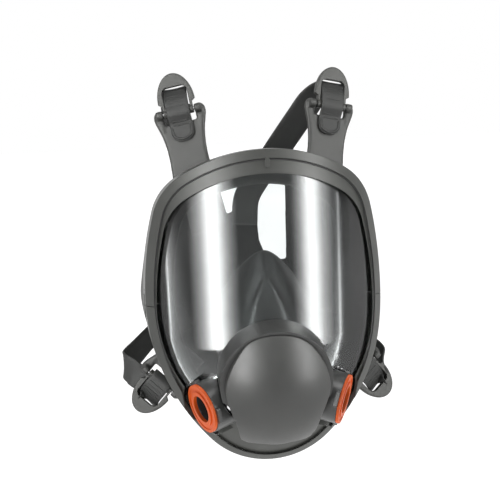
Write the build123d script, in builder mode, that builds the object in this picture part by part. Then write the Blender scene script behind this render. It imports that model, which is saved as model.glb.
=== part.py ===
from build123d import *
import os
from math import sin, cos, radians, degrees, sqrt

# Full-face painter's respirator, millimetres, +Z up, the front faces -Y.
# The origin is in the middle of the face opening, between the eyes and the nose.

# ---- driving dimensions ----
LENS_R = 100.0          # radius of the lens about the upright axis through the origin
LENS_KNEE = -20.0       # height below which the lens curves in toward the chin
CHIN_R = 120.0          # radius of that chin curve
LENS_T = 2.2            # lens wall

# outlines seen from the front: top height, then (arc radius, heading at its end in degrees)
OUTER_TOP = 114.0
OUTER_ARCS = [(112, 31), (45, 76), (260, 90), (140, 118), (175, 133)]
WINDOW_TOP = 97.0
WINDOW_ARCS = [(105, 31), (38, 76), (240, 90), (97, 118), (110, 133)]
RIM_TOP = 107.5
RIM_ARCS = [(106, 31), (39.5, 76), (254.5, 90), (134.5, 118), (169.5, 133)]
FACE_TOP = 88.0
FACE_ARCS = [(86, 31), (30, 76), (200, 90), (125, 118), (118, 133)]

RIM_HEIGHT = 3.4        # frame rim, proud of the lens
WEB_HEIGHT = 1.7        # recessed band between rim and lens window
FRAME_GAP = 0.25        # lens to frame
FRAME_WALL = 3.2
FRAME_DEPTH = 8.0       # how far the frame wall reaches behind the lens face
SPLIT_Z = 4.0           # where upper and lower frame meet
SPLIT_GAP = 0.4
CHIN_WEB_Z = -57.0      # the lens window is closed below this height

SEAL_INSET = 4.5        # seal wall, inside the frame outline
SEAL_WALL = 3.4
FACE_R = 86.0           # radius of the rear edge of the seal
FACE_Y = 24.0           # its axis, behind the lens axis
LIP_T = 3.0

SNOUT_TILT = 17.0       # exhalation port, nose down
SNOUT_AT = (0, -96.5, -45.5)
COLLAR_R = 40.0
COLLAR_H = 12.0
TUBE_R = 25.0
TUBE_BORE = 22.0
TUBE_BACK = 26.0
VALVE_OPEN_R = 18.0

COVER_W = 36.6          # half width of the valve cover
COVER_UP = 37.5
COVER_DOWN = 51.0
COVER_FLAT = 24.5       # half width of the flat lower edge
COVER_H = 19.0
COVER_DOME = 62.0       # radius of the domed face
COVER_WALL = 2.0

PORT_AT = (51.3, -86.9, -67.6)
PORT_OUT = 68.5         # port axis, degrees outward from straight ahead
PORT_DOWN = 15.0
BARREL_R = 18.6
PORT_BORE = 10.0        # hole that takes the filter spigot
BORE_DEPTH = 6.5
CHAMBER_R = 11.6        # wider chamber behind it, for the inhalation valve
GASKET_R = 18.0

STRAP_T = 2.0
STRAP_W = 20.0
PIN_S = 42.0            # buckle pin, distance along the ear from its root
PIN_N = 1.2             # pin height above the front face of the ear
PIN_R = 1.2
HUB_R = 3.0
HUB_W = 10.8            # half width between the ear's wings
EAR_T = 3.6

FRONT = Axis((0, 0, 0), (0, 0, -1))


def unit(v):
    return Vector(*v).normalized()


def trace(top, arcs, inset=0.0):
    """Closed outline, symmetric about X = 0, from tangent arcs; drawn on the XZ plane."""
    with BuildSketch(Plane.XZ) as sk:
        with BuildLine():
            at = Vector(0, top - inset)
            heading = 0.0
            for radius, end in arcs:
                r = radius - inset
                arc = JernArc(start=at, tangent=(cos(radians(heading)), -sin(radians(heading))),
                              radius=r, arc_size=-(end - heading))
                at = arc @ 1
                heading = end
            close_r = at.X / sin(radians(heading))
            JernArc(start=at, tangent=(cos(radians(heading)), -sin(radians(heading))),
                    radius=close_r, arc_size=-(180 - heading))
            mirror(about=Plane.YZ)
        make_face()
    return sk.sketch


def prism(outline, inset, mode):
    """Cut or keep everything in front of the face plane inside an outline."""
    extrude(trace(*outline, inset=inset), amount=150, mode=mode)


def shell(lo, hi, radius=LENS_R, knee=LENS_KNEE, chin=CHIN_R, mode=Mode.ADD, at_y=0.0):
    """Half ring of revolution between two offsets of a lens-like surface."""
    sweep = radians(64)
    cx = radius - chin

    def on_arc(off, a):
        return (cx + (chin + off) * cos(a), knee - (chin + off) * sin(a))

    with BuildSketch(Plane.XZ.offset(-at_y)) as sk:
        with BuildLine():
            Polyline((radius + lo, knee), (radius + lo, 160), (radius + hi, 160), (radius + hi, knee))
            ThreePointArc((radius + hi, knee), on_arc(hi, sweep / 2), on_arc(hi, sweep))
            Line(on_arc(hi, sweep), on_arc(lo, sweep))
            ThreePointArc(on_arc(lo, sweep), on_arc(lo, sweep / 2), (radius + lo, knee))
        make_face()
    revolve(sk.sketch, axis=Axis((0, at_y, 0), (0, 0, -1)), revolution_arc=180, mode=mode)


def lens_band(lo, hi, outer, outer_inset, inner=None, inner_inset=0.0):
    """Part of the lens-like band inside one outline and outside another."""
    with BuildPart() as b:
        shell(lo, hi)
        prism(outer, outer_inset, Mode.INTERSECT)
        if inner:
            prism(inner, inner_inset, Mode.SUBTRACT)
    return b.part


OUTER = (OUTER_TOP, OUTER_ARCS)
WINDOW = (WINDOW_TOP, WINDOW_ARCS)
RIM = (RIM_TOP, RIM_ARCS)
FACE = (FACE_TOP, FACE_ARCS)

tilt = radians(SNOUT_TILT)
snout = Plane(origin=SNOUT_AT, x_dir=(1, 0, 0), z_dir=(0, -cos(tilt), -sin(tilt)))


def port_plane(side):
    out = radians(PORT_OUT)
    down = radians(PORT_DOWN)
    n = (side * sin(out) * cos(down), -cos(out) * cos(down), -sin(down))
    u = unit((side * cos(out), sin(out), 0))
    return Plane(origin=(side * PORT_AT[0], PORT_AT[1], PORT_AT[2]), x_dir=u, z_dir=n)


def disc(plane, r, start, end, mode=Mode.ADD):
    with BuildSketch(plane.offset(start)) as sk:
        Circle(r)
    extrude(sk.sketch, amount=end - start, mode=mode)


def ring(plane, r_out, r_in, start, end, mode=Mode.ADD):
    with BuildSketch(plane.offset(start)) as sk:
        Circle(r_out)
        Circle(r_in, mode=Mode.SUBTRACT)
    extrude(sk.sketch, amount=end - start, mode=mode)


def ear_plane(corner, side):
    """Local frame of a strap ear: X across, Y along the ear, Z out of its front face."""
    if corner == "upper":
        along = unit((side * 0.148, 0.205, 0.967))
        face = Vector(side * 0.21, -0.978, 0)
        pin = Vector(side * 55.0, -49.0, 141.0)
    else:
        along = unit((side * 0.669, 0.10, -0.743))
        face = Vector(side * 0.26, -0.966, 0)
        pin = Vector(side * 76.5, -35.0, -56.0)
    face = (face - along * face.dot(along)).normalized()
    root = pin - along * PIN_S - face * PIN_N
    return Plane(origin=root, x_dir=along.cross(face), z_dir=face)


CORNERS = [("upper", -1), ("upper", 1), ("lower", -1), ("lower", 1)]


def node_name(stem, corner, side):
    hand = "left" if side > 0 else "right"
    return f"{stem}_{corner}_{hand}"


def save(builder, name):
    builder.part.label = name
    export_step(builder.part, f"parts/{name}.step")


os.makedirs("parts", exist_ok=True)

# ---- lens and the two bayonet port bodies let into its lower corners ----
with BuildPart() as lens:
    shell(-LENS_T, 0)
    prism(OUTER, 3.6, Mode.INTERSECT)
    for side in (-1, 1):
        disc(port_plane(side), BARREL_R + 0.3, -42, 12, mode=Mode.SUBTRACT)
        disc(port_plane(side), BARREL_R + 2.2, -5.2, 12, mode=Mode.SUBTRACT)
    disc(snout, TUBE_R + 0.3, -40, 40, mode=Mode.SUBTRACT)

port_bodies = {}
for side in (-1, 1):
    port = port_plane(side)
    with BuildPart() as port_body:
        disc(port, BARREL_R, -34, -1.6)
        # bayonet lugs
        with BuildSketch(port.offset(-4.6)) as lugs:
            with PolarLocations(BARREL_R, 3, start_angle=50):
                RectangleRounded(3.4, 12, 1.2)
        extrude(lugs.sketch, amount=3.0)
        shell(-70, -LENS_T - 2.4, mode=Mode.SUBTRACT)
        ring(port, 16.8, CHAMBER_R + 1.8, -34, -5, mode=Mode.SUBTRACT)
        disc(port, CHAMBER_R, -36, -BORE_DEPTH, mode=Mode.SUBTRACT)
        disc(port, PORT_BORE, -BORE_DEPTH - 1, 0, mode=Mode.SUBTRACT)
        disc(snout, COLLAR_R + 0.4, -9, 40, mode=Mode.SUBTRACT)
        disc(snout, 34.0, -60, 0, mode=Mode.SUBTRACT)
        # keep clear of the lens skin and of the seal behind the frame
        shell(-70, -LENS_T - 2.4, mode=Mode.SUBTRACT)
    port_body.part = Part(port_body.part.solids().sort_by(SortBy.VOLUME)[-1].wrapped)
    port_bodies[side] = port_body

# ---- frame: two clamped halves ----
rim_part = lens_band(FRAME_GAP, RIM_HEIGHT, OUTER, 0, RIM, 0)
web_part = lens_band(FRAME_GAP, WEB_HEIGHT, OUTER, 1.0, WINDOW, 0)
wall_part = lens_band(-FRAME_DEPTH, RIM_HEIGHT, OUTER, 0, OUTER, FRAME_WALL)

# opaque band across the bottom of the window
with BuildPart() as chin_web_part:
    add(lens_band(FRAME_GAP, WEB_HEIGHT, OUTER, 1.0))
    with Locations((0, 0, CHIN_WEB_Z + 200)):
        Box(400, 400, 400, mode=Mode.SUBTRACT)
    disc(snout, COLLAR_R + 0.5, -40, 40, mode=Mode.SUBTRACT)
chin_web = chin_web_part.part

LUG_X = 83.2
LUG_Y = -46.0


def lug(side, z0, z1, mode=Mode.ADD):
    with BuildSketch(Plane.XY.offset(z0)) as sk:
        with Locations((side * LUG_X, LUG_Y)):
            RectangleRounded(6.6, 9.0, 2.0)
    extrude(sk.sketch, amount=z1 - z0, mode=mode)


def screw_hole(side, z0, z1, r):
    with BuildSketch(Plane.XY.offset(z0)) as sk:
        with Locations((side * LUG_X, LUG_Y)):
            Circle(r)
    extrude(sk.sketch, amount=z1 - z0, mode=Mode.SUBTRACT)


with BuildPart() as upper_frame:
    add(rim_part)
    add(web_part)
    add(wall_part)
    for side in (-1, 1):
        lug(side, SPLIT_Z, 11.0)
    # locating nub at the top middle of the window
    with BuildSketch(Plane.XZ.offset(LENS_R + FRAME_GAP)):
        with Locations((0, WINDOW_TOP + 7.5)):
            RectangleRounded(3.2, 7.0, 1.4)
    extrude(amount=RIM_HEIGHT)
    with Locations((0, 0, SPLIT_Z + SPLIT_GAP / 2 - 200)):
        Box(400, 400, 400, mode=Mode.SUBTRACT)
    for side in (-1, 1):
        screw_hole(side, SPLIT_Z, 14, 1.6)
        screw_hole(side, 11.0, 15, 3.3)

with BuildPart() as lower_frame:
    add(rim_part)
    add(web_part)
    add(wall_part)
    for side in (-1, 1):
        # cheek housing round the outer half of each port
        with BuildSketch(port_plane(side).offset(-30)):
            Circle(23.0)
            with Locations((-14, 0)):
                Rectangle(28, 60, mode=Mode.SUBTRACT)
        extrude(amount=25.5)
    shell(-70, FRAME_GAP, mode=Mode.SUBTRACT)
    add(chin_web)
    add(wall_part)
    for side in (-1, 1):
        disc(port_plane(side), BARREL_R + 0.4, -40, 4, mode=Mode.SUBTRACT)
        disc(port_plane(side), BARREL_R + 3.2, -7, 4, mode=Mode.SUBTRACT)
        lug(side, -3.0, SPLIT_Z)
    with Locations((0, 0, SPLIT_Z - SPLIT_GAP / 2 + 200)):
        Box(400, 400, 400, mode=Mode.SUBTRACT)
    for side in (-1, 1):
        screw_hole(side, -7, SPLIT_Z, 1.6)
        screw_hole(side, -8, -3, 3.5)
    # drop the slivers left between port and window
    lower_frame.part = Part(lower_frame.part.solids().sort_by(SortBy.VOLUME)[-1].wrapped)

screws = {}
nuts = {}
for side in (-1, 1):
    at = Plane(origin=(side * LUG_X, LUG_Y, 0))
    with BuildPart() as screw:
        disc(at, 1.5, -6.2, 11.1)
        disc(at, 2.8, 11.0, 13.2)
        with BuildSketch(at.offset(12.2)):
            Rectangle(3.2, 0.8)
            Rectangle(0.8, 3.2)
        extrude(amount=2, mode=Mode.SUBTRACT)
    with BuildPart() as nut:
        with BuildSketch(at.offset(-5.4)):
            RegularPolygon(3.1, 6)
            Circle(1.5, mode=Mode.SUBTRACT)
        extrude(amount=2.4)
    screws[side] = screw
    nuts[side] = nut

# ---- face seal: soft wall, face lip and four strap ears ----
flange = lens_band(-LENS_T - 3.4, -LENS_T - 0.2, OUTER, 3.8, WINDOW, 4.5)
frame_room = lens_band(-FRAME_DEPTH - 0.5, 12, OUTER, -4.0, OUTER, FRAME_WALL + 0.3)


def ear_sketch(plane, start):
    """Ear blank: a neck that flares into two wings either side of the buckle."""
    with BuildSketch(plane) as sk:
        with BuildLine():
            Line((0, start), (14.5, start))
            Line((14.5, start), (14.2, 16))
            Spline((14.2, 16), (16.0, 29), (19.2, 39), tangents=[(0, 1), (0.15, 1)])
            ThreePointArc((19.2, 39), (16.6, 45.2), (11.3, 44.6))
            Line((11.3, 44.6), (11.3, 34.6))
            Line((11.3, 34.6), (0, 34.6))
            mirror(about=Plane.YZ)
        make_face()
    return sk.sketch


with BuildPart() as face_seal:
    shell(-40, -LENS_T - 0.2)
    shell(-30, 0, radius=FACE_R, at_y=FACE_Y, mode=Mode.SUBTRACT)
    prism(OUTER, SEAL_INSET, Mode.INTERSECT)
    for corner, side in CORNERS:
        ear = ear_plane(corner, side)
        extrude(ear_sketch(ear.offset(-EAR_T), -8 if corner == "upper" else 12), amount=EAR_T)
        for wing in (-1, 1):
            knuckle = Plane(origin=ear.from_local_coords(Vector(wing * 11.3, PIN_S, PIN_N)),
                            x_dir=ear.y_dir, z_dir=ear.x_dir * wing)
            disc(knuckle, 3.2, 0, 5.2)
            disc(knuckle, PIN_R + 0.02, -1, 4.2, mode=Mode.SUBTRACT)
    prism(OUTER, SEAL_INSET + SEAL_WALL, Mode.SUBTRACT)
    add(flange)
    add(frame_room, mode=Mode.SUBTRACT)
    for side in (-1, 1):
        disc(port_plane(side), BARREL_R + 0.7, -48, 2, mode=Mode.SUBTRACT)
        disc(port_plane(side), BARREL_R + 2.4, -6, 2, mode=Mode.SUBTRACT)
        # pocket for the frame's screw lugs
        with Locations((side * (LUG_X + 16.4), LUG_Y, SPLIT_Z)):
            Box(40, 10, 26, mode=Mode.SUBTRACT)
with BuildPart() as lip:
    shell(0, LIP_T, radius=FACE_R, at_y=FACE_Y)
    prism(OUTER, SEAL_INSET + 0.5, Mode.INTERSECT)
    prism(FACE, 0, Mode.SUBTRACT)
face_seal.part = face_seal.part + lip.part

# ---- exhalation port ----
with BuildPart() as centre_adapter:
    disc(snout, COLLAR_R, -24, COLLAR_H)
    disc(snout, COLLAR_R - 3.2, -24, COLLAR_H - 3, mode=Mode.SUBTRACT)
    shell(-70, 0.3, mode=Mode.SUBTRACT)
    for side in (-1, 1):
        disc(port_plane(side), BARREL_R + 3.0, -40, 2, mode=Mode.SUBTRACT)
    disc(snout, TUBE_R, -TUBE_BACK, COLLAR_H)
    disc(snout, TUBE_BORE, -TUBE_BACK, COLLAR_H - 4, mode=Mode.SUBTRACT)
    disc(snout, VALVE_OPEN_R, -TUBE_BACK, COLLAR_H, mode=Mode.SUBTRACT)
    # spider that carries the valve stem
    with BuildSketch(snout.offset(COLLAR_H - 3)):
        Circle(3.4)
        with PolarLocations(VALVE_OPEN_R / 2 + 0.5, 5, start_angle=90):
            Rectangle(VALVE_OPEN_R + 1, 1.8)
        Circle(1.3, mode=Mode.SUBTRACT)
    extrude(amount=3)

with BuildPart() as exhalation_valve:
    disc(snout, 20.0, COLLAR_H + 0.2, COLLAR_H + 1.1)
    disc(snout, 1.2, COLLAR_H - 5.5, COLLAR_H + 0.3)
    disc(snout, 1.9, COLLAR_H - 6.5, COLLAR_H - 5.2)


def saddle(r_out, lo, hi):
    with BuildPart() as b:
        ring(snout, r_out, TUBE_R + 0.1, -19.5, 6)
        shell(lo, hi, mode=Mode.INTERSECT)
    return b.part


with BuildPart() as adapter_gasket:
    add(saddle(32.0, -LENS_T - 1.5, -LENS_T - 0.1))

with BuildPart() as adapter_clamp_ring:
    add(saddle(31.0, -LENS_T - 9.0, -LENS_T - 1.6))


def cover_sketch(plane, inset):
    """Egg-shaped outline with a flat lower edge."""
    w = COVER_W - inset
    up = COVER_UP - inset
    down = COVER_DOWN - inset
    flat = COVER_FLAT - inset * 0.4
    with BuildSketch(plane) as sk:
        with BuildLine():
            Spline((0, up), (w * 0.72, up * 0.69), (w, -3), (w * 0.83, -down * 0.46),
                   (flat + 2, -down * 0.76), (flat, -down), tangents=[(1, 0), (0, -1)])
            Line((flat, -down), (-flat, -down))
            Spline((-flat, -down), (-flat - 2, -down * 0.76), (-w * 0.83, -down * 0.46), (-w, -3),
                   (-w * 0.72, up * 0.69), (0, up), tangents=[(0, 1), (1, 0)])
        make_face()
    return sk.sketch


def cover_block(inset, base, mode=Mode.ADD):
    """Egg prism capped by a shallow dome."""
    start = snout.offset(base)
    centre = snout.from_local_coords(Vector(0, -6, COLLAR_H + COVER_H - COVER_DOME))
    with BuildPart() as b:
        extrude(cover_sketch(start, inset), amount=60)
        with Locations(centre):
            Sphere(COVER_DOME - inset, mode=Mode.INTERSECT)
    return b.part


cover_outer = cover_block(0, COLLAR_H + 0.3)
cover_inner = cover_block(COVER_WALL, COLLAR_H)
with BuildPart() as valve_cover:
    add(cover_outer)
    add(cover_inner, mode=Mode.SUBTRACT)
    # outlet slot along the flat lower edge
    with BuildSketch(snout.offset(COLLAR_H)) as slot:
        with Locations((0, -COVER_DOWN)):
            Rectangle(2 * COVER_FLAT - 8, 12)
    extrude(amount=4.2, mode=Mode.SUBTRACT)

# ---- nose cup ----
CUP_Y = -46.0


def cup_loft(grow):
    front = snout.offset(-20.5)
    with BuildPart() as b:
        with BuildSketch(front):
            Circle(28.5 + grow)
        with BuildSketch(Plane.XZ.offset(-CUP_Y)):
            with Locations((0, -14)):
                Ellipse(37 + grow, 53 + grow)
        loft()
    return b.part


cup_outer = cup_loft(0)
cup_inner = cup_loft(-2.0)
with BuildPart() as nose_cup:
    add(cup_outer)
    add(cup_inner, mode=Mode.SUBTRACT)
    ring(snout, 28.5, TUBE_R + 0.1, -25.5, -20.3)

# ---- inhalation ports ----
port_parts = {}
for side in (-1, 1):
    port = port_plane(side)
    with BuildPart() as port_gasket:
        ring(port, GASKET_R, PORT_BORE, -1.5, 0.6)
        ring(port, GASKET_R - 2.2, GASKET_R - 5.0, 0.1, 1, mode=Mode.SUBTRACT)
        ring(port, GASKET_R - 5.0, PORT_BORE, 0.5, 1.0)
    with BuildPart() as inhalation_valve_seat:
        ring(port, CHAMBER_R - 0.05, 8.0, -14, -12)
        with BuildSketch(port.offset(-14)) as spokes:
            Circle(2.2)
            with PolarLocations(4.7, 3):
                Rectangle(7.4, 1.4)
            Circle(1.0, mode=Mode.SUBTRACT)
        extrude(spokes.sketch, amount=2)
    with BuildPart() as inhalation_valve:
        disc(port, 9.2, -15.0, -14.2)
        disc(port, 0.9, -14.4, -9.8)
        disc(port, 1.6, -10.3, -9.5)
    port_parts[side] = (port_gasket, inhalation_valve_seat, inhalation_valve)

# ---- buckles, pins and strap ends ----
corner_parts = {}
for corner, side in CORNERS:
    ear = ear_plane(corner, side)
    hub = Plane(origin=ear.from_local_coords(Vector(-HUB_W, PIN_S, PIN_N)), x_dir=ear.y_dir,
                z_dir=ear.x_dir)
    profile = Plane(origin=ear.from_local_coords(Vector(-8, 0, 0)), x_dir=ear.y_dir, z_dir=ear.x_dir)

    with BuildPart() as buckle:
        with BuildSketch(ear.offset(PIN_N - 2.0)):
            with BuildLine():
                EllipticalCenterArc((0, 49.5), 13.4, 20.5, start_angle=0, arc_size=180)
                Polyline((-13.4, 49.5), (-HUB_W, 47.8), (-HUB_W, PIN_S), (HUB_W, PIN_S),
                         (HUB_W, 47.8), (13.4, 49.5))
            make_face()
        extrude(amount=4.0)
        fillet(buckle.edges().filter_by(GeomType.ELLIPSE), 1.2)
        disc(hub, HUB_R, 0, 2 * HUB_W)
        with BuildSketch(ear.offset(-6)):
            with Locations((0, 52.8)):
                RectangleRounded(18.4, 15.0, 4.0)
            with Locations((0, 48.5)):
                Rectangle(18.4, 6.2)
        extrude(amount=14, mode=Mode.SUBTRACT)
        disc(hub, PIN_R + 0.05, -1, 2 * HUB_W + 1, mode=Mode.SUBTRACT)

    with BuildPart() as buckle_pin:
        disc(hub, PIN_R, -4.4, 2 * HUB_W + 4.4)

    free = 27.5 if corner == "upper" else 36.5
    with BuildPart() as strap_end:
        over = PIN_N + HUB_R + 0.15
        with BuildSketch(profile):
            with BuildLine():
                if corner == "upper":
                    front = [(free, 0.6), (35, 0.6), (39.5, over - 0.4)]
                    back = [(38.6, over + 1.5), (34.2, 2.4), (free, 2.4)]
                else:
                    front = [(free, over - 2.2), (39.5, over - 0.4)]
                    back = [(38.6, over + 1.5), (free, over - 0.3)]
                path = front + [(42, over), (44.6, over - 0.5), (50, 3.0), (58.4, -3.0), (59.6, -1.6),
                                (51, 4.8), (45.2, over + 1.4), (42, over + 1.9)] + back
                Polyline(*path, close=True)
            make_face()
        extrude(amount=16)
        if corner == "upper":
            # rounded grip with a raised rim
            with BuildSketch(ear.offset(0.6)):
                with Locations((0, free)):
                    Circle(8.0)
            extrude(amount=1.8)
            with BuildSketch(ear.offset(0.6)):
                with Locations((0, free)):
                    Circle(8.0)
                    Circle(6.2, mode=Mode.SUBTRACT)
                with Locations((0, free + 7.5)):
                    Rectangle(16, 9, mode=Mode.SUBTRACT)
            extrude(amount=2.9)
    corner_parts[(corner, side)] = (buckle, buckle_pin, strap_end)

# ---- harness: rear pad and four straps, hanging slack behind the mask ----
PAD_Y = 22.0
with BuildPart() as harness_pad:
    with BuildSketch(Plane.XZ.offset(-PAD_Y)):
        with Locations((6, 6)):
            RectangleRounded(156, 168, 34)
        # the two openings either side of the middle band
        with BuildLine():
            Polyline((-20.5, 82), (0, 86), (-4, 66), (-16, 61), close=True)
        make_face(mode=Mode.SUBTRACT)
        with BuildLine():
            Polyline((12, 86), (30, 85), (28.5, 24), (14, 24), (8, 40), (6, 72), close=True)
        make_face(mode=Mode.SUBTRACT)
    extrude(amount=STRAP_T)


def ribbon(stations):
    """Flat strap through stations of (centre, width direction)."""
    centres = [Vector(*c) for c, w in stations]
    with BuildPart() as b:
        for i, (c, w) in enumerate(stations):
            ahead = centres[min(i + 1, len(centres) - 1)] - centres[max(i - 1, 0)]
            across = Vector(*w)
            across = across - ahead * (across.dot(ahead) / ahead.dot(ahead))
            with BuildSketch(Plane(origin=centres[i], x_dir=across, z_dir=ahead)):
                Rectangle(STRAP_W, STRAP_T)
        loft(ruled=True)
    return b.part


STRAP_PATHS = {
    ("upper", 1): [((34, -28, 144), (0.75, 0.1, -0.65)), ((21, -14, 129), (0.8, 0.1, -0.55)),
                   ((13, -2, 112), (0.9, 0, -0.4)), ((1, 14, 84), (1, 0, -0.2)), ((-3, 18.5, 56), (1, 0, 0))],
    ("upper", -1): [((-60, -27, 134), (1, 0.1, 0.1)), ((-60, -12, 108), (1, 0, 0.1)),
                    ((-50, 6, 78), (1, 0, 0.3)), ((-34, 18.5, 50), (1, 0, 0.4))],
    ("lower", -1): [((-97, -6, -45), (0.1, 0, 1)), ((-84, 6, -32), (0.4, 0, 1)),
                    ((-70, 13, -24), (0.4, 0, 1)), ((-52, 17.4, -16), (0.2, 0, 1))],
    ("lower", 1): [((84, -6, -44), (0.1, 0, 1)), ((74, 6, -34), (-0.3, 0, 1)),
                   ((62, 13, -28), (-0.2, 0, 1)), ((46, 17.4, -24), (0, 0, 1))],
}
straps = {}
for key, stations in STRAP_PATHS.items():
    with BuildPart() as strap:
        add(ribbon(stations))
    straps[key] = strap

# ---- write every piece ----
save(lens, "lens")
for side in (-1, 1):
    save(port_bodies[side], "port_body_left" if side > 0 else "port_body_right")
save(upper_frame, "upper_frame")
save(lower_frame, "lower_frame")
save(face_seal, "face_seal")
save(centre_adapter, "centre_adapter")
save(adapter_gasket, "adapter_gasket")
save(adapter_clamp_ring, "adapter_clamp_ring")
save(exhalation_valve, "exhalation_valve")
save(valve_cover, "valve_cover")
save(nose_cup, "nose_cup")
save(harness_pad, "harness_pad")
for side in (-1, 1):
    hand = "left" if side > 0 else "right"
    save(screws[side], f"frame_screw_{hand}")
    save(nuts[side], f"frame_nut_{hand}")
    for stem, piece in zip(("port_gasket", "inhalation_valve_seat", "inhalation_valve"), port_parts[side]):
        save(piece, f"{stem}_{hand}")
for corner, side in CORNERS:
    for stem, piece in zip(("buckle", "buckle_pin", "strap_end"), corner_parts[(corner, side)]):
        save(piece, node_name(stem, corner, side))
    save(straps[(corner, side)], node_name("strap", corner, side))
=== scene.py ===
import bpy
import math
import numpy as np
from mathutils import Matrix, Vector


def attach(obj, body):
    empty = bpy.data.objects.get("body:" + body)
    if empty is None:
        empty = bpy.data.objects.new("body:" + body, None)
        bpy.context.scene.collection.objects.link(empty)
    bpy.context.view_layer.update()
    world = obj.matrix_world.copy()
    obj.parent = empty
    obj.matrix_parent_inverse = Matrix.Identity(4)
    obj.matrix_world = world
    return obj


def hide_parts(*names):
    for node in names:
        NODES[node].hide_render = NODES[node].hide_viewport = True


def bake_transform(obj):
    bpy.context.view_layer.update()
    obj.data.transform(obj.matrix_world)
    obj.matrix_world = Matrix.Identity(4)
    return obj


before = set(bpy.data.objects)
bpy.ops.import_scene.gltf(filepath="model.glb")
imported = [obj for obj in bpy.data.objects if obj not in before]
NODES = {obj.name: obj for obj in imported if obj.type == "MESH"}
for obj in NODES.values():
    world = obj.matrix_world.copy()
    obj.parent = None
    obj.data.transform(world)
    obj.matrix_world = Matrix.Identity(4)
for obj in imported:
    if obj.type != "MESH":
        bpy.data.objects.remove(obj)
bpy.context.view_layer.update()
MM = 0.001

# ---- dimensions shared with the CAD part, millimetres ----
LENS_R = 100.0
KNEE = -20.0
CHIN_R = 120.0
OUTER = (114.0, [(112, 31), (45, 76), (260, 90), (140, 118), (175, 133)])
RIM = (107.5, [(106, 31), (39.5, 76), (254.5, 90), (134.5, 118), (169.5, 133)])
FACE = (88.0, [(86, 31), (30, 76), (200, 90), (125, 118), (118, 133)])
FACE_R = 86.0
FACE_Y = 24.0
SNOUT_TILT = math.radians(17)
SNOUT_AT = np.array([0, -96.5, -45.5])
PIN_S = 42.0
PIN_N = 1.2
ARC_STEPS = (12, 12, 14, 14, 8, 18)


# ---------------------------------------------------------------- meshes
def trace(top, arcs, inset=0.0):
    """Closed outline as (x, z) points; equal outlines match point for point."""
    x, z, heading = 0.0, top - inset, 0.0
    pts = [(x, z)]
    spans = [(r - inset, end) for r, end in arcs]
    for (r, end), n in zip(spans + [(None, 180)], ARC_STEPS):
        a0 = math.radians(heading)
        if r is None:
            r = x / math.sin(a0)
        a1 = math.radians(end)
        for k in range(1, n + 1):
            a = a0 + (a1 - a0) * k / n
            pts.append((x + r * (math.sin(a) - math.sin(a0)), z + r * (math.cos(a) - math.cos(a0))))
        x, z = pts[-1]
        heading = end
    right = np.array(pts)
    left = right[-2:0:-1] * np.array([-1, 1])
    return np.vstack([right, left])


def surface_y(x, z, radius, off, axis_y):
    drop = np.clip(KNEE - z, 0, None)
    chin = radius - CHIN_R + np.sqrt(np.clip((CHIN_R + off) ** 2 - drop ** 2, 1, None))
    ring = np.where(z < KNEE, chin, radius + off)
    return axis_y - np.sqrt(np.clip(ring ** 2 - x ** 2, 4, None))


def grid_mesh(name, rows, close_u=False, close_v=False, caps=False):
    """A skin over rows of points, in millimetres."""
    rows = np.asarray(rows, float)
    nu, nv = rows.shape[:2]
    faces = []
    for i in range(nu if close_u else nu - 1):
        for j in range(nv if close_v else nv - 1):
            i2, j2 = (i + 1) % nu, (j + 1) % nv
            faces.append((i * nv + j, i2 * nv + j, i2 * nv + j2, i * nv + j2))
    if caps and close_v:
        faces.append(tuple(range(nv - 1, -1, -1)))
        faces.append(tuple((nu - 1) * nv + j for j in range(nv)))
    return make_object(name, rows.reshape(-1, 3), faces)


def make_object(name, verts, faces):
    mesh = bpy.data.meshes.new(name)
    mesh.from_pydata([tuple(v) for v in np.asarray(verts) * MM], [], faces)
    mesh.update()
    mesh.validate()
    for p in mesh.polygons:
        p.use_smooth = True
    obj = bpy.data.objects.new(name, mesh)
    bpy.context.scene.collection.objects.link(obj)
    return obj


def fix_normals(obj):
    import bmesh
    bm = bmesh.new()
    bm.from_mesh(obj.data)
    bmesh.ops.recalc_face_normals(bm, faces=bm.faces)
    bm.to_mesh(obj.data)
    bm.free()


def bake(obj):
    """Apply an object's modifiers to its own mesh."""
    graph = bpy.context.evaluated_depsgraph_get()
    mesh = bpy.data.meshes.new_from_object(obj.evaluated_get(graph))
    obj.modifiers.clear()
    old = obj.data
    obj.data = mesh
    bpy.data.meshes.remove(old)
    for p in obj.data.polygons:
        p.use_smooth = True


def join(name, objs):
    verts, faces, base = [], [], 0
    for o in objs:
        verts += [np.array(v.co) / MM for v in o.data.vertices]
        faces += [tuple(base + i for i in p.vertices) for p in o.data.polygons]
        base += len(o.data.vertices)
        bpy.data.objects.remove(o)
    return make_object(name, verts, faces)


def catmull(points, per=8, closed=False):
    p = np.asarray(points, float)
    n = len(p)
    out = []
    for i in range(n if closed else n - 1):
        if closed:
            a, b, c, d = p[i - 1], p[i], p[(i + 1) % n], p[(i + 2) % n]
        else:
            a = p[i - 1] if i else 2 * p[0] - p[1]
            b, c = p[i], p[i + 1]
            d = p[i + 2] if i + 2 < n else 2 * p[-1] - p[-2]
        for k in range(per):
            t = k / per
            out.append(0.5 * (2 * b + (c - a) * t + (2 * a - 5 * b + 4 * c - d) * t * t
                              + (3 * b - a - 3 * c + d) * t ** 3))
    if not closed:
        out.append(p[-1])
    return np.array(out)


def unit(v):
    v = np.asarray(v, float)
    return v / np.linalg.norm(v)


def slab_section(half_w, half_t, n=6):
    """Cross-section of a flat band with rounded edges."""
    r = half_t
    quarter = math.pi / 2
    right = [(half_w - r + r * math.cos(a), r * math.sin(a)) for a in np.linspace(-quarter, quarter, n)]
    flat = np.linspace(half_w - r, -(half_w - r), 7)[1:-1]
    left = [(-x, -y) for x, y in right]
    return right + [(x, half_t) for x in flat] + left + [(-x, -half_t) for x in flat]


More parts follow.
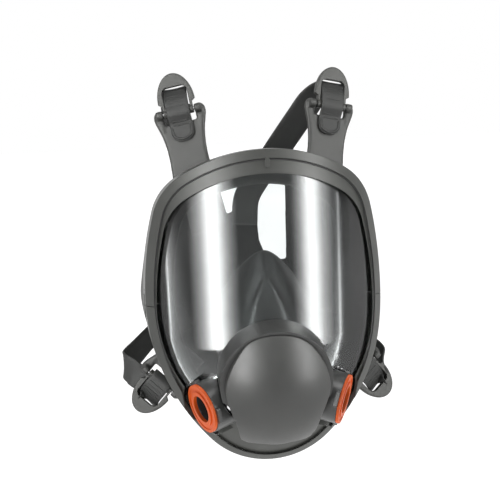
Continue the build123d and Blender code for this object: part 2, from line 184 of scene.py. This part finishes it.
def ribbon(name, stations, half_w, half_t, per=10):
    """Flat band through stations of (centre, width direction, half width factor)."""
    centres = catmull([s[0] for s in stations], per)
    widths = catmull([s[1] for s in stations], per)
    scale = catmull([[s[2] if len(s) > 2 else 1.0] for s in stations], per)[:, 0]
    tangents = np.gradient(centres, axis=0)
    rows = []
    for c, w, t, k in zip(centres, widths, tangents, scale):
        t = unit(t)
        w = unit(w - t * np.dot(w, t))
        n = np.cross(t, w)
        rows.append([c + w * a * k + n * b for a, b in slab_section(half_w, half_t)])
    return grid_mesh(name, rows, close_v=True, caps=True)


# ---------------------------------------------------------------- materials
class Shader:
    """Small helper around one node material."""

    def __init__(self, name):
        self.mat = bpy.data.materials.new(name)
        self.mat.use_nodes = True
        self.nodes = self.mat.node_tree.nodes
        self.links = self.mat.node_tree.links
        self.bsdf = self.nodes["Principled BSDF"]
        self.coord = self.node("ShaderNodeTexCoord")

    def node(self, kind, **values):
        n = self.nodes.new(kind)
        for key, value in values.items():
            if hasattr(n, key):
                setattr(n, key, value)
            else:
                n.inputs[key.replace("_", " ")].default_value = value
        return n

    def link(self, a, out, b, into):
        self.links.new(a.outputs[out], b.inputs[into])

    def noise(self, scale, detail=3.0, rough=0.5):
        n = self.node("ShaderNodeTexNoise", Scale=scale, Detail=detail, Roughness=rough)
        self.link(self.coord, "Object", n, "Vector")
        return n

    def ramp(self, source, low, high, lo_pos=0.35, hi_pos=0.65):
        r = self.node("ShaderNodeValToRGB")
        r.color_ramp.elements[0].position = lo_pos
        r.color_ramp.elements[1].position = hi_pos
        r.color_ramp.elements[0].color = (*low, 1)
        r.color_ramp.elements[1].color = (*high, 1)
        self.links.new(source.outputs[0], r.inputs[0])
        return r


def moulded(name, base, spread=0.12, rough=0.5, rough_spread=0.08, grain=1800, bump=0.12,
            edge=0.0, specular=0.5, coat=0.0, patch=45):
    """Moulded plastic or rubber: soft tone patches, fine grain and rounded edges."""
    s = Shader(name)
    base = np.array(base)
    patches = s.noise(patch, 4)
    tone = s.ramp(patches, tuple(base * (1 - spread)), tuple(base * (1 + spread)))
    s.link(tone, "Color", s.bsdf, "Base Color")
    scuff = s.noise(patch * 5, 5, 0.65)
    rr = s.node("ShaderNodeMapRange")
    rr.inputs["To Min"].default_value = rough - rough_spread
    rr.inputs["To Max"].default_value = rough + rough_spread
    s.links.new(scuff.outputs[0], rr.inputs["Value"])
    s.link(rr, "Result", s.bsdf, "Roughness")
    fine = s.noise(grain, 2)
    b = s.node("ShaderNodeBump", Strength=bump, Distance=0.0002)
    s.links.new(fine.outputs[0], b.inputs["Height"])
    if edge:
        bevel = s.node("ShaderNodeBevel", samples=4)
        bevel.inputs["Radius"].default_value = edge
        s.link(bevel, "Normal", b, "Normal")
    s.link(b, "Normal", s.bsdf, "Normal")
    s.bsdf.inputs["Specular IOR Level"].default_value = specular
    s.bsdf.inputs["Coat Weight"].default_value = coat
    s.bsdf.inputs["Coat Roughness"].default_value = 0.25
    return s.mat


def steel(name):
    s = Shader(name)
    n = s.noise(900, 3)
    tone = s.ramp(n, (0.42, 0.42, 0.43), (0.62, 0.62, 0.63))
    s.link(tone, "Color", s.bsdf, "Base Color")
    s.bsdf.inputs["Metallic"].default_value = 1.0
    s.bsdf.inputs["Roughness"].default_value = 0.32
    return s.mat


def clear_plastic(name):
    """Clear polycarbonate: see-through with a polished reflection and faint smudges."""
    s = Shader(name)
    out = s.nodes["Material Output"]
    see = s.node("ShaderNodeBsdfTransparent")
    smear = s.noise(22, 4, 0.6)
    tint = s.ramp(smear, (0.90, 0.925, 0.925), (0.955, 0.965, 0.965))
    s.link(tint, "Color", see, "Color")
    shine = s.node("ShaderNodeBsdfGlossy")
    shine.inputs["Color"].default_value = (1, 1, 1, 1)
    rr = s.node("ShaderNodeMapRange")
    rr.inputs["To Min"].default_value = 0.035
    rr.inputs["To Max"].default_value = 0.085
    s.links.new(smear.outputs[0], rr.inputs["Value"])
    s.link(rr, "Result", shine, "Roughness")
    fresnel = s.node("ShaderNodeFresnel", IOR=1.5)
    mix = s.node("ShaderNodeMixShader")
    s.links.new(fresnel.outputs[0], mix.inputs[0])
    s.links.new(see.outputs[0], mix.inputs[1])
    s.links.new(shine.outputs[0], mix.inputs[2])
    s.links.new(mix.outputs[0], out.inputs["Surface"])
    return s.mat


GREY = moulded("frame_grey", (0.052, 0.054, 0.048), rough=0.42, edge=0.0009, coat=0.06)
SEAL = moulded("seal_grey", (0.042, 0.043, 0.039), rough=0.52, grain=1500, bump=0.1)
CUP = moulded("cup_dark", (0.024, 0.025, 0.024), rough=0.42, coat=0.25)
COVER = moulded("cover_grey", (0.046, 0.047, 0.044), rough=0.40, edge=0.0012, coat=0.08, patch=30)
ADAPTER = moulded("adapter_grey", (0.046, 0.047, 0.045), rough=0.34, edge=0.0008, coat=0.15)
BUCKLE = moulded("buckle_grey", (0.044, 0.045, 0.040), rough=0.5, edge=0.0006, bump=0.25, grain=1200)
STRAP = moulded("strap_rubber", (0.020, 0.021, 0.019), rough=0.62, bump=0.2, grain=1300)
VALVE = moulded("valve_silicone", (0.02, 0.02, 0.02), rough=0.5)
ORANGE = moulded("orange_silicone", (0.74, 0.105, 0.006), spread=0.10, rough=0.5, edge=0.0005, specular=0.25)
STEEL = steel("bright_steel")
DARK_STEEL = moulded("blackened_steel", (0.05, 0.05, 0.05), rough=0.35)
CRADLE = moulded("cradle_rubber", (0.012, 0.012, 0.011), rough=0.7, grain=900, patch=30, specular=0.3)
CLEAR = clear_plastic("clear_lens")


def dress(node, mat):
    mesh = NODES[node].data
    if not mesh.materials:
        mesh.materials.append(mat)
    for i in range(len(mesh.materials)):
        mesh.materials[i] = mat


LOOKS = {"lens": CLEAR, "upper_frame": GREY, "lower_frame": GREY, "centre_adapter": ADAPTER,
         "adapter_gasket": VALVE, "adapter_clamp_ring": ADAPTER, "exhalation_valve": VALVE,
         "valve_cover": COVER, "face_seal": SEAL, "nose_cup": CUP, "harness_pad": STRAP}
for hand in ("left", "right"):
    LOOKS.update({f"frame_screw_{hand}": DARK_STEEL, f"frame_nut_{hand}": DARK_STEEL,
                  f"port_body_{hand}": ADAPTER, f"port_gasket_{hand}": ORANGE,
                  f"inhalation_valve_seat_{hand}": ADAPTER, f"inhalation_valve_{hand}": VALVE})
    for level in ("upper", "lower"):
        LOOKS.update({f"buckle_{level}_{hand}": BUCKLE, f"buckle_pin_{level}_{hand}": STEEL,
                      f"strap_end_{level}_{hand}": STRAP, f"strap_{level}_{hand}": STRAP})
for node, mat in LOOKS.items():
    dress(node, mat)


def place(obj, mat, body="mask"):
    obj.data.materials.clear()
    obj.data.materials.append(mat)
    if body:
        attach(obj, body)


# ---------------------------------------------------------------- strap ears
def ear_frame(corner, side):
    if corner == "upper":
        along = unit((side * 0.148, 0.205, 0.967))
        face = np.array((side * 0.21, -0.978, 0))
        pin = np.array((side * 55.0, -49.0, 141.0))
    else:
        along = unit((side * 0.669, 0.10, -0.743))
        face = np.array((side * 0.26, -0.966, 0))
        pin = np.array((side * 76.5, -35.0, -56.0))
    face = unit(face - along * np.dot(face, along))
    root = pin - along * PIN_S - face * PIN_N
    return root, np.cross(along, face), along, face


def to_world(fr, w, s, n):
    root, x, y, z = fr
    return root + x * w + y * s + z * n


def plate(fr, stations, n_mid, half_t, edge=1.5):
    """Loft across the ear: stations of (s, w left, w right), with rounded edges."""
    rows = []
    for s, w0, w1 in stations:
        mid, half = (w0 + w1) / 2, (w1 - w0) / 2
        rows.append([to_world(fr, mid + a, s, n_mid + b) for a, b in slab_section(half, half_t)])
    return grid_mesh("tmp", rows, close_v=True, caps=True)


def tube(centre_a, centre_b, r, n=20):
    axis = unit(centre_b - centre_a)
    side = unit(np.cross(axis, (0.3, 0.2, 0.9)))
    up = np.cross(axis, side)
    turns = np.linspace(0, 2 * math.pi, n, endpoint=False)
    ring = [side * math.cos(a) * r + up * math.sin(a) * r for a in turns]
    return grid_mesh("tmp", [[c + q for q in ring] for c in (centre_a, centre_b)], close_v=True, caps=True)


def ear_mesh(corner, side):
    fr = ear_frame(corner, side)
    start = -12 if corner == "upper" else 10
    body = [(s, -w, w) for s, w in ((start, 15.5), (0, 14.6), (8, 14.2), (16, 14.3), (22, 14.9), (27, 15.8),
                                    (31, 16.9), (34.4, 17.9)) if s >= start]
    pieces = [plate(fr, body, -1.8, 1.8)]
    for wing in (-1, 1):
        outline = [(29, 11.3, 16.2), (33, 11.3, 17.5), (37, 11.3, 18.7), (40, 11.3, 19.2), (42.5, 11.3, 18.9),
                   (44.6, 11.6, 17.6), (45.6, 12.6, 16.0)]
        outline = [(s, min(wing * a, wing * b), max(wing * a, wing * b)) for s, a, b in outline]
        pieces.append(plate(fr, outline, -1.6, 2.0))
        a = to_world(fr, wing * 11.5, PIN_S, PIN_N)
        b = to_world(fr, wing * 16.4, PIN_S, PIN_N)
        pieces.append(tube(a, b, 3.1))
    return join("tmp", pieces)


def remesh(obj, voxel, smooth=6):
    fix_normals(obj)
    m = obj.modifiers.new("r", "REMESH")
    m.mode = "VOXEL"
    m.voxel_size = voxel * MM
    s = obj.modifiers.new("s", "SMOOTH")
    s.iterations = smooth
    s.factor = 0.5
    bake(obj)


# ---------------------------------------------------------------- face seal
def seal_rows():
    """Section of the soft skirt, one outline per station, from the lens flange to the face lip and back."""
    def spot(w, inset, b, swell=0.0):
        near = trace(*OUTER, inset=inset)
        far = trace(*FACE)
        xz = near * (1 - w) + far * w
        if swell:
            bump = swell * np.exp(-((near[:, 1] - 3) / 22) ** 2)
            xz = xz + np.stack([np.sign(near[:, 0]) * bump, 0 * bump], 1)
        x, z = xz[:, 0], xz[:, 1]
        front = surface_y(x, z, LENS_R, -2.9, 0.0)
        back = surface_y(x, z, FACE_R, 0.0, FACE_Y)
        return np.stack([x, front * (1 - b) + back * b, z], 1)

    loop = [spot(0, 11.5, 0.00), spot(0, 7.0, 0.00), spot(0, 4.3, 0.01), spot(0, 3.9, 0.18),
            spot(0, 3.6, 0.38), spot(0, 2.2, 0.56, 1.0), spot(0, 1.6, 0.72, 1.8), spot(0, 3.0, 0.88, 1.0),
            spot(0, 6.5, 0.985), spot(0, 11, 1.03), spot(0.45, 9, 1.02), spot(0.85, 8, 0.965),
            spot(0.98, 8, 0.90), spot(1.0, 8, 0.86), spot(0.90, 8, 0.855), spot(0.55, 9, 0.90),
            spot(0.15, 11, 0.90), spot(0, 8.6, 0.80), spot(0, 7.0, 0.60), spot(0, 7.2, 0.35),
            spot(0, 8.2, 0.16), spot(0, 11.0, 0.09)]
    return catmull(np.array(loop), 4, closed=True)


seal = grid_mesh("seal_skirt", seal_rows(), close_u=True, close_v=True)
fix_normals(seal)
place(seal, SEAL)
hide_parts("face_seal")
for corner in ("upper", "lower"):
    for side, hand in ((-1, "right"), (1, "left")):
        ear = ear_mesh(corner, side)
        remesh(ear, 0.7)
        ear.name = f"seal_ear_{corner}_{hand}"
        place(ear, SEAL)
        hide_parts("face_seal")


# ---------------------------------------------------------------- straps
# each band behind its buckle: (centre, width direction) stations, then two end points (start, end)
STRAP_RUNS = {
    ("upper", 1): dict(
        run=[((51, -34, 153), (0.93, 0.15, -0.3)), ((44, -28, 145), (0.8, 0.2, -0.5)),
             ((36, -22, 133), (0.75, 0.15, -0.62)),
             ((27, -13, 119), (0.8, 0.1, -0.55)), ((17, -2, 103), (0.9, 0, -0.4)),
             ((7, 11, 87), (1, 0, -0.2)),
             ((-1, 17, 72), (1, 0, -0.1)), ((-3, 18.6, 52), (1, 0, 0))],
        start=(38, -28, 146), end=(52, -47, 147)),
    ("upper", -1): dict(
        run=[((-57.5, -33, 154), (1, 0, 0)), ((-56, -26, 143), (1, 0.05, 0)), ((-53, -21, 130), (1, 0.1, 0)),
             ((-47, -12, 108), (1, 0, 0.1)), ((-43, -2, 91), (1, 0, 0.2)), ((-40, 8, 75), (1, 0, 0.35)),
             ((-34, 18.4, 48), (1, 0, 0.4))],
        start=(-56, -24, 140), end=(-58, -40, 141)),
    ("lower", -1): dict(
        run=[((-88.5, -27, -58), (-0.4, 0.2, 0.9)), ((-96, -23, -50), (-0.15, 0.1, 1)),
             ((-101.2, -17, -46), (0, 0, 1)),
             ((-99.6, -11.5, -44), (0, 0, 1)), ((-92, -5, -38), (0.1, 0, 1)), ((-78, 6, -27), (0.3, 0, 1)),
             ((-66, 13, -22), (0.3, 0, 1)), ((-50, 17.6, -15), (0.2, 0, 1))],
        start=(-97, -10, -46), end=(-92, -29, -50)),
    ("lower", 1): dict(
        run=[((90, -27, -60), (-0.4, -0.2, -0.9)), ((92.5, -18, -52), (-0.1, 0, -1)),
             ((86, -8, -45), (-0.05, 0, -1)),
             ((74, 4, -35), (0.2, 0, -1)), ((60, 13, -28), (0.15, 0, -1)), ((44, 17.6, -24), (0, 0, -1))],
        start=(90, -10, -46), end=(90, -28, -50)),
}


def strap_piece(corner, side):
    fr = ear_frame(corner, side)
    x_dir = fr[1]
    if corner == "upper":
        local = [(20.8, 1.5, 0.22), (21.4, 1.5, 0.45), (22.8, 1.5, 0.64), (25.2, 1.5, 0.79), (28, 1.5, 0.84),
                 (31, 1.5, 0.84), (34.2, 1.9, 0.84), (37.2, 3.6, 0.84), (39.6, 5.0, 0.84), (42, 5.35, 0.84)]
    else:
        local = [(36.6, 3.0, 0.84), (38.4, 4.2, 0.84), (40.2, 5.1, 0.84), (42, 5.35, 0.84)]
    local += [(45.2, 4.8, 0.86), (50, 3.6, 0.86), (55, 0.6, 0.86), (58.6, -2.4, 0.86)]
    stations = [(to_world(fr, 0, s, n), x_dir, k) for s, n, k in local]
    run = STRAP_RUNS[(corner, side)]["run"]
    stations += [(np.array(c, float), unit(w), 0.86 if i == 0 else 1.0) for i, (c, w) in enumerate(run)]
    band = ribbon("tmp", stations, 10.0, 0.95)
    parts = [band]
    if corner == "upper":
        # raised rim of the grip and two ribs across the tongue
        rim = catmull([(-7.0, 31.5), (-6.9, 27.5), (-5.3, 24), (0, 22.2),
                       (5.3, 24), (6.9, 27.5), (7.0, 31.5)], 6)
        path = [to_world(fr, w, s, 2.5) for w, s in rim]
        parts.append(bead(path, 0.95))
        for s in (32.4, 35.0):
            n = 2.4 if s < 34 else 3.2
            parts.append(bead([to_world(fr, w, s, n) for w in np.linspace(-6.6, 6.6, 8)], 0.55))
    for s, n in ((45.4, 5.7), (48.2, 5.0), (51.0, 4.2), (53.6, 2.7)):
        parts.append(bead([to_world(fr, w, s, n) for w in np.linspace(-7.4, 7.4, 8)], 0.3))
    hand = "left" if side > 0 else "right"
    piece = join(f"strap_band_{corner}_{hand}", parts)
    place(piece, STRAP, body=None)
    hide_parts(f"strap_{corner}_{hand}", f"strap_end_{corner}_{hand}")
    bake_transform(piece)
    return piece


def bead(path, r, n=8):
    """Round bar along a path, tapered to closed ends."""
    path = np.asarray(path, float)
    tangents = np.gradient(path, axis=0)
    rows = []
    for i, (c, t) in enumerate(zip(path, tangents)):
        t = unit(t)
        side = unit(np.cross(t, (0.31, 0.52, 0.79)))
        up = np.cross(t, side)
        k = r * (0.35 if i in (0, len(path) - 1) else 1.0)
        rows.append([c + side * math.cos(a) * k + up * math.sin(a) * k
                     for a in np.linspace(0, 2 * math.pi, n, endpoint=False)])
    return grid_mesh("tmp", rows, close_v=True, caps=True)


for corner in ("upper", "lower"):
    for side in (-1, 1):
        strap_piece(corner, side)

# ---------------------------------------------------------------- painted shadow: dark bead in the gap inside the frame rim
shadow_bead_path = trace(*RIM, inset=0.7)
half = len(shadow_bead_path) // 2
shadow_bead_path = np.roll(shadow_bead_path, half, axis=0)
shadow_bead_path = shadow_bead_path[shadow_bead_path[:, 1] > -52]
depth = surface_y(shadow_bead_path[:, 0], shadow_bead_path[:, 1], LENS_R, 1.9, 0.0)
# painted shadow: a thin black bead along the lens edge stands in for the shade in the gap under the frame rim
shadow_bead = bead(np.column_stack([shadow_bead_path[:, 0], depth, shadow_bead_path[:, 1]]), 0.62)
shadow_bead.name = "rim_painted_shadow_bead"
place(shadow_bead, VALVE)

# ---------------------------------------------------------------- harness pad
pad_mesh = NODES["harness_pad"].data.copy()
pad = bpy.data.objects.new("harness_back_pad", pad_mesh)
bpy.context.scene.collection.objects.link(pad)
remesh(pad, 0.7, smooth=10)
for v in pad.data.vertices:
    v.co.y += 0.0016 * math.sin(v.co.x * 95 + 0.8) * math.cos(v.co.z * 42)
place(pad, CRADLE)
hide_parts("harness_pad")


# ---------------------------------------------------------------- nose cup
def nose_cup():
    n_dir = np.array([0, -math.cos(SNOUT_TILT), -math.sin(SNOUT_TILT)])
    v_dir = np.array([0, -math.sin(SNOUT_TILT), math.cos(SNOUT_TILT)])
    x_dir = np.array([1.0, 0, 0])
    angles = np.linspace(0, 2 * math.pi, 96, endpoint=False)

    def ring(t, r):
        c = SNOUT_AT + n_dir * t
        return np.array([c + x_dir * r * math.sin(a) + v_dir * r * math.cos(a) for a in angles])

    rows = [ring(-25.4, 25.6), ring(-25.4, 27.9), ring(-24.6, 28.6), ring(-21.4, 28.6)]
    front = ring(-20.6, 28.4)
    rear = []
    for a in angles:
        up = max(0.0, math.cos(a))
        down = max(0.0, -math.cos(a))
        x = 36.5 * math.sin(a) * (1 - 0.42 * up ** 1.6 - 0.10 * down)
        z = -14 + 53 * (math.cos(a) if math.cos(a) > 0 else math.cos(a) * 0.98)
        y = -46.5 - 17 * up ** 2.2 + 1.0 * down
        rear.append((x, y, z))
    rear = np.array(rear)
    wrapped = (angles + math.pi) % (2 * math.pi) - math.pi
    steps = 26
    for k in range(steps + 1):
        v = k / steps
        ease = v ** 0.9
        p = front * (1 - ease) + rear * ease
        centre = p.mean(0)
        out = p - centre
        out[:, 1] = 0
        out /= np.linalg.norm(out, axis=1)[:, None]
        belly = 4.2 * math.sin(math.pi * v) * (0.5 + 0.5 * np.abs(np.sin(wrapped)))
        fold = 0.50 * max(0.0, 1 - v / 0.52)
        width = 0.10 + 0.05 * (1 - v)
        crest = 4.2 * math.sin(math.pi * min(1, v * 1.05)) * (np.exp(-((wrapped - fold) / width) ** 2)
                                                              + np.exp(-((wrapped + fold) / width) ** 2))
        if fold < 0.12:
            crest = crest * (0.5 + 0.5 * fold / 0.12)
        dent = -2.2 * math.sin(math.pi * v) * (np.exp(-((wrapped - 0.95) / 0.28) ** 2)
                                               + np.exp(-((wrapped + 0.95) / 0.28) ** 2))
        rows.append(p + out * (belly + crest + dent)[:, None])
    last = rows[-1]
    out = last - last.mean(0)
    out[:, 1] = 0
    out /= np.linalg.norm(out, axis=1)[:, None]
    rows.append(last + out * 1.2 + np.array([0, 1.2, 0]))
    rows.append(last + out * 0.2 + np.array([0, 2.4, 0]))
    rows.append(last - out * 4.0 + np.array([0, 2.0, 0]))
    cup = grid_mesh("nose_cup_skin", rows, close_v=True)
    fix_normals(cup)
    m = cup.modifiers.new("wall", "SOLIDIFY")
    m.thickness = 1.3 * MM
    m.offset = -1
    bake(cup)
    return cup


cup = nose_cup()
place(cup, CUP)
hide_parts("nose_cup")

# ---------------------------------------------------------------- stage, lights, camera
FLOOR_Z = -0.40


def flat_plane(name, size_x, size_y):
    verts = [(-size_x / 2, -size_y / 2, 0), (size_x / 2, -size_y / 2, 0), (size_x / 2, size_y / 2, 0),
             (-size_x / 2, size_y / 2, 0)]
    mesh = bpy.data.meshes.new(name)
    mesh.from_pydata(verts, [], [(0, 1, 2, 3)])
    mesh.uv_layers.new(name="UVMap")
    obj = bpy.data.objects.new(name, mesh)
    bpy.context.scene.collection.objects.link(obj)
    return obj


floor = flat_plane("floor", 30, 30)
floor.location.z = FLOOR_Z
fs = Shader("pale_floor")
fn = fs.noise(3, 3)
ft = fs.ramp(fn, (0.60, 0.60, 0.60), (0.64, 0.64, 0.64))
fs.link(ft, "Color", fs.bsdf, "Base Color")
fs.bsdf.inputs["Roughness"].default_value = 0.95
fs.bsdf.inputs["Specular IOR Level"].default_value = 0.0
fs.bsdf.inputs["Emission Color"].default_value = (1, 1, 1, 1)
# lit backdrop behind and under the mask, dimmer toward the front
where = fs.node("ShaderNodeSeparateXYZ")
fs.link(fs.coord, "Object", where, "Vector")
glow = fs.node("ShaderNodeMapRange")
for key, value in (("From Min", -1.5), ("From Max", -0.5), ("To Min", 0.0), ("To Max", 0.75)):
    glow.inputs[key].default_value = value
fs.link(where, "Y", glow, "Value")
fs.link(glow, "Result", fs.bsdf, "Emission Strength")
floor.data.materials.append(fs.mat)

world = bpy.data.worlds.new("studio")
world.use_nodes = True
wn, wl = world.node_tree.nodes, world.node_tree.links
direction = wn.new("ShaderNodeTexCoord")
split = wn.new("ShaderNodeSeparateXYZ")
fall = wn.new("ShaderNodeMapRange")
for key, value in (("From Min", -0.25), ("From Max", 0.25), ("To Min", 0.30), ("To Max", 1.0)):
    fall.inputs[key].default_value = value
wl.new(direction.outputs["Generated"], split.inputs[0])
wl.new(split.outputs["Y"], fall.inputs["Value"])
wn["Background"].inputs[0].default_value = (1.0, 1.0, 1.0, 1)
wl.new(fall.outputs["Result"], wn["Background"].inputs[1])
bpy.context.scene.world = world


def softbox(name, azimuth, distance, width, height, z, strength, core=0.5, core_w=0.2):
    """Glowing panel seen only in reflections, brightest along one upright line."""
    a = math.radians(azimuth)
    obj = flat_plane(name, width, height)
    obj.rotation_euler = (math.radians(90), 0, a)
    obj.location = (math.sin(a) * distance, -math.cos(a) * distance, z)
    s = Shader(name + "_glow")
    out = s.nodes["Material Output"]
    sep = s.node("ShaderNodeSeparateXYZ")
    s.link(s.coord, "UV", sep, "Vector")
    ramp = s.node("ShaderNodeValToRGB")
    ramp.color_ramp.interpolation = "B_SPLINE"
    e = ramp.color_ramp.elements
    e[0].position, e[0].color = 0.0, (0.0, 0.0, 0.0, 1)
    e[1].position, e[1].color = 1.0, (0.0, 0.0, 0.0, 1)
    for pos, level in ((core - core_w * 1.6, 0.25), (core - core_w * 0.5, 1.0), (core + core_w * 0.5, 1.0),
                       (core + core_w * 1.6, 0.25)):
        el = e.new(min(max(pos, 0.02), 0.98))
        el.color = (level, level, level, 1)
    s.links.new(sep.outputs["X"], ramp.inputs[0])
    glow = s.node("ShaderNodeEmission", Strength=strength)
    s.link(ramp, "Color", glow, "Color")
    s.links.new(glow.outputs[0], out.inputs["Surface"])
    obj.data.materials.append(s.mat)
    obj.visible_camera = False
    obj.visible_transmission = False
    obj.visible_diffuse = False
    obj.visible_shadow = False
    return obj


softbox("softbox_left", -40, 1.5, 1.15, 2.4, 0.0, 17.0, core=0.52, core_w=0.15)
softbox("softbox_right", 45, 1.5, 1.05, 2.4, 0.0, 14.0, core=0.45, core_w=0.15)


def area_light(name, location, target, size, power):
    data = bpy.data.lights.new(name, "AREA")
    data.shape = "RECTANGLE"
    data.size, data.size_y = size
    data.energy = power
    obj = bpy.data.objects.new(name, data)
    obj.location = location
    obj.rotation_euler = (Vector(target) - Vector(location)).to_track_quat("-Z", "Y").to_euler()
    bpy.context.scene.collection.objects.link(obj)
    obj.visible_camera = False
    return obj


area_light("overhead", (0.1, -0.7, 1.3), (0, -0.05, 0.02), (0.9, 0.6), 8.0)

camera_data = bpy.data.cameras.new("camera")
camera = bpy.data.objects.new("camera", camera_data)
bpy.context.scene.collection.objects.link(camera)
AZ, EL, ROLL, DIST = math.radians(-7.5), math.radians(8.0), math.radians(-2.3), 1.10
back = Vector((math.sin(AZ) * math.cos(EL), -math.cos(AZ) * math.cos(EL), math.sin(EL)))
aim = Vector((0, -0.060, 0))
camera.location = aim + back * DIST
camera.rotation_euler = back.to_track_quat("Z", "Y").to_euler()
camera.rotation_mode = "XYZ"
camera.rotation_euler.rotate_axis("Z", ROLL)
camera_data.lens = 109.5
camera_data.sensor_width = 36.0
camera_data.shift_x = -0.030
camera_data.shift_y = 0.110
bpy.context.scene.camera = camera
bpy.context.scene.view_settings.view_transform = "Standard"
